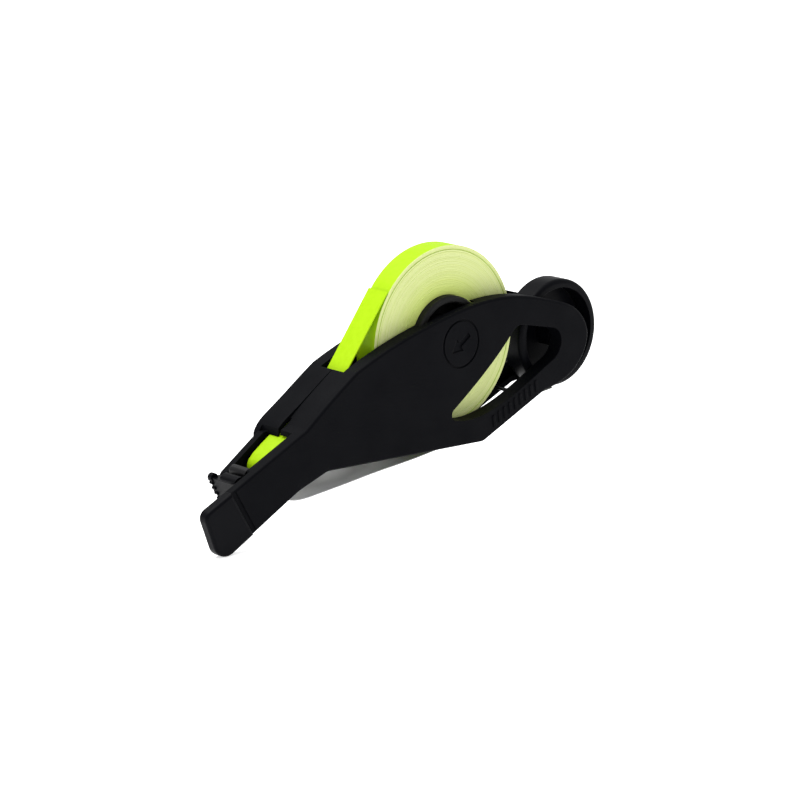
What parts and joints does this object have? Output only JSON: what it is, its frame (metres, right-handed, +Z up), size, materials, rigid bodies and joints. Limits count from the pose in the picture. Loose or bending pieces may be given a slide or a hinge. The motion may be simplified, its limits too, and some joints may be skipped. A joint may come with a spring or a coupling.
{
  "type": "rim tape applicator",
  "caption": "Hand-held tape applicator: narrow tape roll between two half shells, closed guide channel, peeling nose, gauge leg and hollow film take-up wheel.",
  "frame": {"origin": "under the middle of the bounding box, at the foot's lowest point", "axes": "+X to the rear of the tool, +Y to its far side (away from the gauge leg), +Z up; the reel axle is parallel to Y"},
  "size_m": [0.139, 0.0174, 0.0653],
  "materials": {
    "shell_black": "fine moulded texture, satin",
    "cap_black": "smooth satin",
    "core_black": "satin",
    "tape_yellow": "fluorescent vinyl",
    "film_grey": "thin silicone coated film",
    "roller_black": "smooth acetal",
    "pin_steel": "ground",
    "felt_grey": "pressed felt",
    "pad_rubber": "soft",
    "screw_steel": "black oxide"
  },
  "bodies": {
    "body": {"near_shell": "shell_black", "far_shell": "shell_black", "foot_cap": "cap_black", "shell_screws": "screw_steel", "reel_axle": "core_black", "felt_washer": "felt_grey", "wave_spring": "pin_steel", "guide_ramp": "core_black", "tape_lead": "tape_yellow", "backing_film": "film_grey", "peel_pin": "pin_steel", "guard_pin": "screw_steel", "film_roller_pin": "pin_steel", "liner_guide_pin": "roller_black", "wheel_axle": "screw_steel", "wheel_washers": "roller_black", "press_shoe": "cap_black", "press_pad": "pad_rubber", "shoe_pin": "pin_steel"},
    "reel": {"reel_core": "core_black", "tape_roll": "tape_yellow"},
    "peel": {"peel_roller": "roller_black"},
    "guard": {"guard_roller": "roller_black"},
    "film": {"film_roller": "roller_black"},
    "wheel": {"rear_wheel": "cap_black"}
  },
  "joints": [
    {"name": "reel_spin", "type": "hinge", "parent": "body", "child": "reel", "pos_m": [0.01317, 0.0002, 0.0413], "axis": [0, -1, 0], "continuous": true},
    {"name": "peel_spin", "type": "hinge", "parent": "body", "child": "peel", "pos_m": [-0.04373, 0.0002, 0.017], "axis": [0, -1, 0], "continuous": true},
    {"name": "guard_spin", "type": "hinge", "parent": "body", "child": "guard", "pos_m": [-0.05133, 0.0002, 0.0171], "axis": [0, -1, 0], "continuous": true},
    {"name": "film_spin", "type": "hinge", "parent": "body", "child": "film", "pos_m": [0.02067, 0.0002, 0.0156], "axis": [0, -1, 0], "continuous": true},
    {"name": "wheel_spin", "type": "hinge", "parent": "body", "child": "wheel", "pos_m": [0.05507, 0.0002, 0.03645], "axis": [0, -1, 0], "continuous": true}
  ],
  "couplings": [
    {"joint": "peel_spin", "follows": "reel_spin", "ratio": 9.6},
    {"joint": "film_spin", "follows": "reel_spin", "ratio": 15},
    {"joint": "wheel_spin", "follows": "reel_spin", "ratio": 1.6667}
  ]
}
